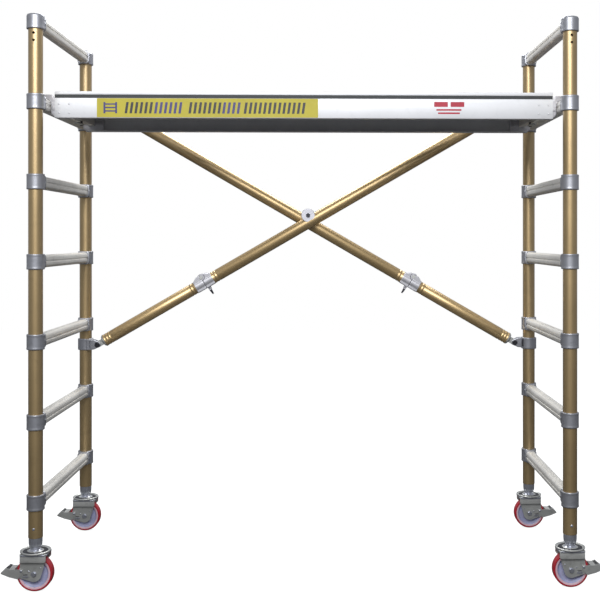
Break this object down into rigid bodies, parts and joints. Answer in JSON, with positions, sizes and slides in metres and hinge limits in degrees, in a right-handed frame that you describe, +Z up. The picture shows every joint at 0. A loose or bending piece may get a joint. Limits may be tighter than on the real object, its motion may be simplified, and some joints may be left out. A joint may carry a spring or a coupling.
{
  "type": "folding mobile scaffold",
  "caption": "Folding mobile aluminium scaffold: ladder end frames, crossed folding braces, a hook-on plank and braked swivel casters.",
  "frame": {"origin": "on the floor, midway between the four casters", "axes": "+Z up; X runs along the plank from the left frame to the right frame; Y runs along the rungs, with the crossed braces on the +Y side"},
  "size_m": [2.108, 0.8091, 2.016],
  "materials": {
    "gold_anodised": "champagne gold anodised tube",
    "cast_aluminium": "cast and tumbled, slightly bluish",
    "mill_aluminium": "mill finish extrusion, dull warm grey",
    "bright_aluminium": "satin natural extrusion",
    "zinc_steel": "zinc plated pressed steel",
    "dark_steel": "black oxide",
    "red_polyurethane": "moulded red polyurethane tread",
    "wheel_core": "pale bluish moulded core",
    "sign_film": "printed adhesive film, for the looks of the plank's near beam only",
    "black_plastic": "dark extruded strip, for the looks of the beams' grooves only",
    "phenolic_plywood": "phenolic film with a mesh grip pattern"
  },
  "bodies": {
    "frames": {"left_post_near": "gold_anodised", "left_post_far": "gold_anodised", "left_rung_1": "cast_aluminium", "left_rung_2": "cast_aluminium", "left_rung_3": "cast_aluminium", "left_rung_4": "cast_aluminium", "left_rung_5": "cast_aluminium", "left_rung_6": "cast_aluminium", "left_top_rail": "cast_aluminium", "right_post_near": "gold_anodised", "right_post_far": "gold_anodised", "right_rung_1": "cast_aluminium", "right_rung_2": "cast_aluminium", "right_rung_3": "cast_aluminium", "right_rung_4": "cast_aluminium", "right_rung_5": "cast_aluminium", "right_rung_6": "cast_aluminium", "right_top_rail": "cast_aluminium", "brace_a_arm": "gold_anodised", "brace_a_link": "gold_anodised", "brace_b_arm": "gold_anodised", "brace_b_link": "gold_anodised", "brace_pivot_bolt": "dark_steel", "upper_clamp_left": "cast_aluminium", "upper_clamp_right": "cast_aluminium", "lower_clamp_left": "cast_aluminium", "lower_clamp_right": "cast_aluminium", "caster_stem_left_near": "zinc_steel", "caster_stem_left_far": "zinc_steel", "caster_stem_right_near": "zinc_steel", "caster_stem_right_far": "zinc_steel"},
    "plank": {"plank_beam_near": "bright_aluminium", "plank_beam_far": "bright_aluminium", "plank_deck": "phenolic_plywood", "plank_end_beam_left": "mill_aluminium", "hook_left_near": "cast_aluminium", "hook_left_far": "cast_aluminium", "plank_end_beam_right": "mill_aluminium", "hook_right_near": "cast_aluminium", "hook_right_far": "cast_aluminium"},
    "wind_lock_left": {"wind_lock_left": "zinc_steel"},
    "wind_lock_right": {"wind_lock_right": "zinc_steel"},
    "fold_latch_a": {"fold_latch_a": "dark_steel"},
    "fold_latch_b": {"fold_latch_b": "dark_steel"},
    "caster_left_near": {"caster_fork_left_near": "zinc_steel"},
    "wheel_left_near": {"wheel_core_left_near": "wheel_core", "wheel_tyre_left_near": "red_polyurethane"},
    "pedal_left_near": {"brake_pedal_left_near": "zinc_steel"},
    "caster_left_far": {"caster_fork_left_far": "zinc_steel"},
    "wheel_left_far": {"wheel_core_left_far": "wheel_core", "wheel_tyre_left_far": "red_polyurethane"},
    "pedal_left_far": {"brake_pedal_left_far": "zinc_steel"},
    "caster_right_near": {"caster_fork_right_near": "zinc_steel"},
    "wheel_right_near": {"wheel_core_right_near": "wheel_core", "wheel_tyre_right_near": "red_polyurethane"},
    "pedal_right_near": {"brake_pedal_right_near": "zinc_steel"},
    "caster_right_far": {"caster_fork_right_far": "zinc_steel"},
    "wheel_right_far": {"wheel_core_right_far": "wheel_core", "wheel_tyre_right_far": "red_polyurethane"},
    "pedal_right_far": {"brake_pedal_right_far": "zinc_steel"}
  },
  "joints": [
    {"name": "plank_lift", "type": "slide", "parent": "frames", "child": "plank", "axis": [0, 0, 1], "range_m": [0, 0.15]},
    {"name": "wind_lock_left_turn", "type": "hinge", "parent": "plank", "child": "wind_lock_left", "pos_m": [-0.8845, 0.06, 1.69], "axis": [0, 0, -1], "range_deg": [0, 90]},
    {"name": "wind_lock_right_turn", "type": "hinge", "parent": "plank", "child": "wind_lock_right", "pos_m": [0.8845, 0.06, 1.69], "axis": [0, 0, 1], "range_deg": [0, 90]},
    {"name": "fold_latch_a_pull", "type": "hinge", "parent": "frames", "child": "fold_latch_a", "pos_m": [-0.41214, 0.3245, 1.01902], "axis": [0, -1, 0], "range_deg": [0, 35], "stiffness_Nm_per_rad": 0.05, "springref_deg": -11.46},
    {"name": "fold_latch_b_pull", "type": "hinge", "parent": "frames", "child": "fold_latch_b", "pos_m": [0.41214, 0.3755, 1.01902], "axis": [0, 1, 0], "range_deg": [0, 35], "stiffness_Nm_per_rad": 0.05, "springref_deg": -11.46},
    {"name": "swivel_left_near", "type": "hinge", "parent": "frames", "child": "caster_left_near", "pos_m": [-0.94, -0.35, 0.135], "axis": [0, 0, 1], "continuous": true},
    {"name": "wheel_spin_left_near", "type": "hinge", "parent": "caster_left_near", "child": "wheel_left_near", "pos_m": [-0.94, -0.35, 0.0625], "axis": [0, 1, 0], "continuous": true},
    {"name": "brake_left_near", "type": "hinge", "parent": "caster_left_near", "child": "pedal_left_near", "pos_m": [-0.983, -0.35, 0.074], "axis": [0, -1, 0], "range_deg": [0, 16]},
    {"name": "swivel_left_far", "type": "hinge", "parent": "frames", "child": "caster_left_far", "pos_m": [-0.94, 0.35, 0.135], "axis": [0, 0, 1], "continuous": true},
    {"name": "wheel_spin_left_far", "type": "hinge", "parent": "caster_left_far", "child": "wheel_left_far", "pos_m": [-0.94, 0.35, 0.0625], "axis": [0, 1, 0], "continuous": true},
    {"name": "brake_left_far", "type": "hinge", "parent": "caster_left_far", "child": "pedal_left_far", "pos_m": [-0.983, 0.35, 0.074], "axis": [0, -1, 0], "range_deg": [0, 16]},
    {"name": "swivel_right_near", "type": "hinge", "parent": "frames", "child": "caster_right_near", "pos_m": [0.94, -0.35, 0.135], "axis": [0, 0, 1], "continuous": true},
    {"name": "wheel_spin_right_near", "type": "hinge", "parent": "caster_right_near", "child": "wheel_right_near", "pos_m": [0.94, -0.35, 0.0625], "axis": [0, 1, 0], "continuous": true},
    {"name": "brake_right_near", "type": "hinge", "parent": "caster_right_near", "child": "pedal_right_near", "pos_m": [0.983, -0.35, 0.074], "axis": [0, 1, 0], "range_deg": [0, 16]},
    {"name": "swivel_right_far", "type": "hinge", "parent": "frames", "child": "caster_right_far", "pos_m": [0.94, 0.35, 0.135], "axis": [0, 0, 1], "continuous": true},
    {"name": "wheel_spin_right_far", "type": "hinge", "parent": "caster_right_far", "child": "wheel_right_far", "pos_m": [0.94, 0.35, 0.0625], "axis": [0, 1, 0], "continuous": true},
    {"name": "brake_right_far", "type": "hinge", "parent": "caster_right_far", "child": "pedal_right_far", "pos_m": [0.983, 0.35, 0.074], "axis": [0, 1, 0], "range_deg": [0, 16]}
  ]
}
